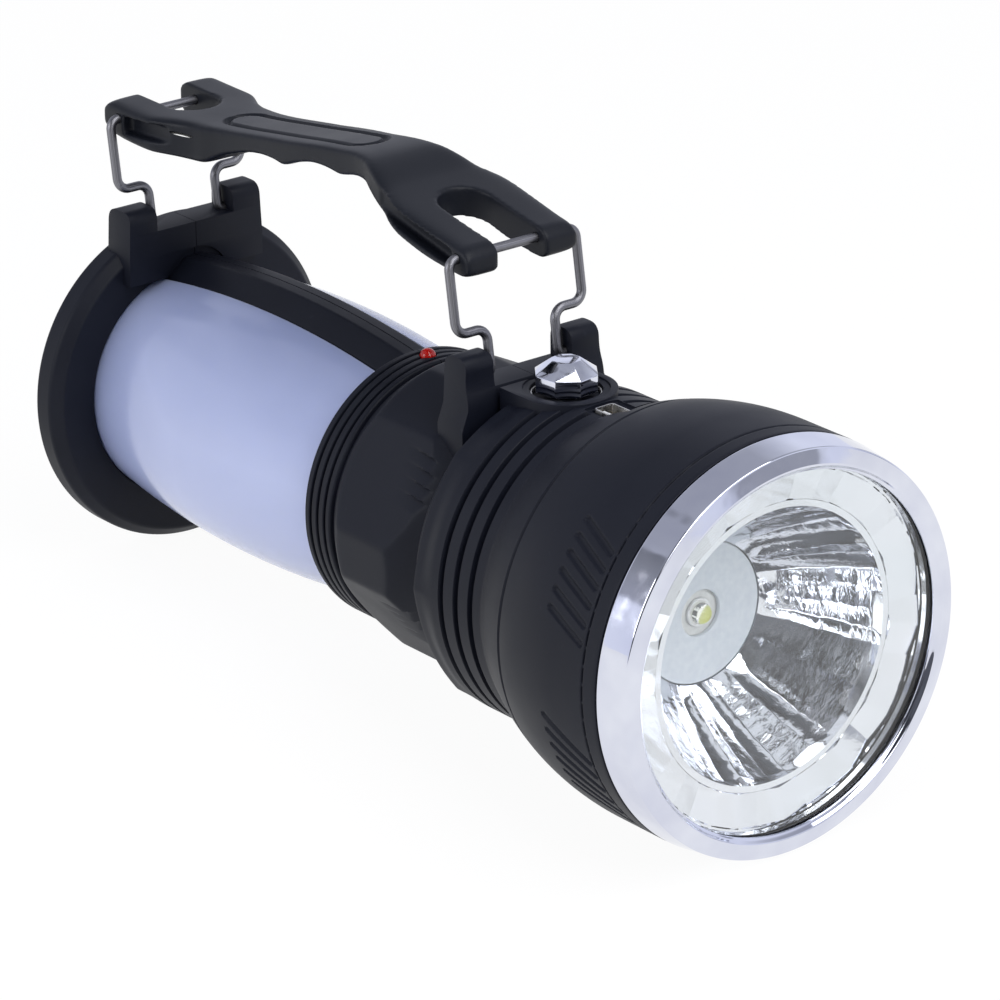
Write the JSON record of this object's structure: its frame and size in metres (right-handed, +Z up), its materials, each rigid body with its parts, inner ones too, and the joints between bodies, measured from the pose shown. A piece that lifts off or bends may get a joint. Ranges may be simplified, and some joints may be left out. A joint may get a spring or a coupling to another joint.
{
  "type": "spotlight",
  "caption": "Rechargeable spotlight torch with a milky lantern barrel, a wide lamp head in a chrome rim, and a folding carry handle on two wire bails.",
  "frame": {"origin": "centre of the base's flat back face", "axes": "+X along the torch towards the lens, +Z up to the carry handle, +Y to the torch's left seen along +X"},
  "size_m": [0.2412, 0.099, 0.1322],
  "materials": {
    "black_plastic": "satin",
    "handle_plastic": "satin",
    "milky_plastic": "gloss",
    "white_plastic": "matte",
    "bright_chrome": "polished",
    "steel_wire": "satin",
    "plated_steel": "satin",
    "mirror_coat": "polished",
    "clear_plastic": "polished",
    "board_green": "matte",
    "bare_aluminium": "satin",
    "soft_rubber": "matte",
    "red_lamp": "gloss",
    "tray_plastic": "matte",
    "cell_wrap": "satin"
  },
  "bodies": {
    "torch": {"base_cover": "black_plastic", "base_screw_1": "plated_steel", "base_screw_2": "plated_steel", "base_screw_3": "plated_steel", "base_screw_4": "plated_steel", "battery_cell_lower": "cell_wrap", "battery_cell_upper": "cell_wrap", "battery_tray": "tray_plastic", "bezel": "bright_chrome", "board_screw_1": "plated_steel", "board_screw_2": "plated_steel", "button_ring": "bright_chrome", "charge_board": "board_green", "contact_front": "plated_steel", "contact_rear": "plated_steel", "control_board": "board_green", "diffuser_left": "milky_plastic", "diffuser_right": "milky_plastic", "head_shell": "black_plastic", "heat_sink": "bare_aluminium", "heat_sink_screw_1": "plated_steel", "heat_sink_screw_2": "plated_steel", "heat_sink_screw_3": "plated_steel", "housing_left": "black_plastic", "housing_right": "black_plastic", "housing_screw_1": "plated_steel", "housing_screw_2": "plated_steel", "housing_screw_3": "plated_steel", "housing_screw_4": "plated_steel", "indicator_led": "red_lamp", "lantern_board_left": "white_plastic", "lantern_board_right": "white_plastic", "led_board": "bare_aluminium", "led_disc": "white_plastic", "led_emitter": "clear_plastic", "lens": "clear_plastic", "lens_gasket": "soft_rubber", "light_plate_left": "white_plastic", "light_plate_right": "white_plastic", "reflector": "mirror_coat", "tact_switch": "soft_rubber", "usb_shell": "plated_steel", "usb_tongue": "white_plastic"},
    "rear_bail": {"rear_bail": "steel_wire"},
    "front_bail": {"front_bail": "steel_wire"},
    "handle": {"handle": "handle_plastic"},
    "button": {"button_cap": "bright_chrome", "switch_plunger": "white_plastic"}
  },
  "joints": [
    {"name": "rear_bail_hinge", "type": "hinge", "parent": "torch", "child": "rear_bail", "pos_m": [0.007, 0, 0.0425], "axis": [0, 1, 0], "range_deg": [-56, 74]},
    {"name": "front_bail_hinge", "type": "hinge", "parent": "torch", "child": "front_bail", "pos_m": [0.142, 0, 0.0425], "axis": [0, 1, 0], "range_deg": [-56, 74]},
    {"name": "handle_hinge", "type": "hinge", "parent": "rear_bail", "child": "handle", "pos_m": [0.00257, 0, 0.07045], "axis": [0, 1, 0], "range_deg": [-74, 56]},
    {"name": "button_press", "type": "slide", "parent": "torch", "child": "button", "axis": [0, 0, -1], "range_m": [0, 0.001], "stiffness_N_per_m": 1000, "springref_m": -0.0005}
  ],
  "couplings": [
    {"joint": "front_bail_hinge", "follows": "rear_bail_hinge", "ratio": 1},
    {"joint": "handle_hinge", "follows": "rear_bail_hinge", "ratio": -1}
  ]
}
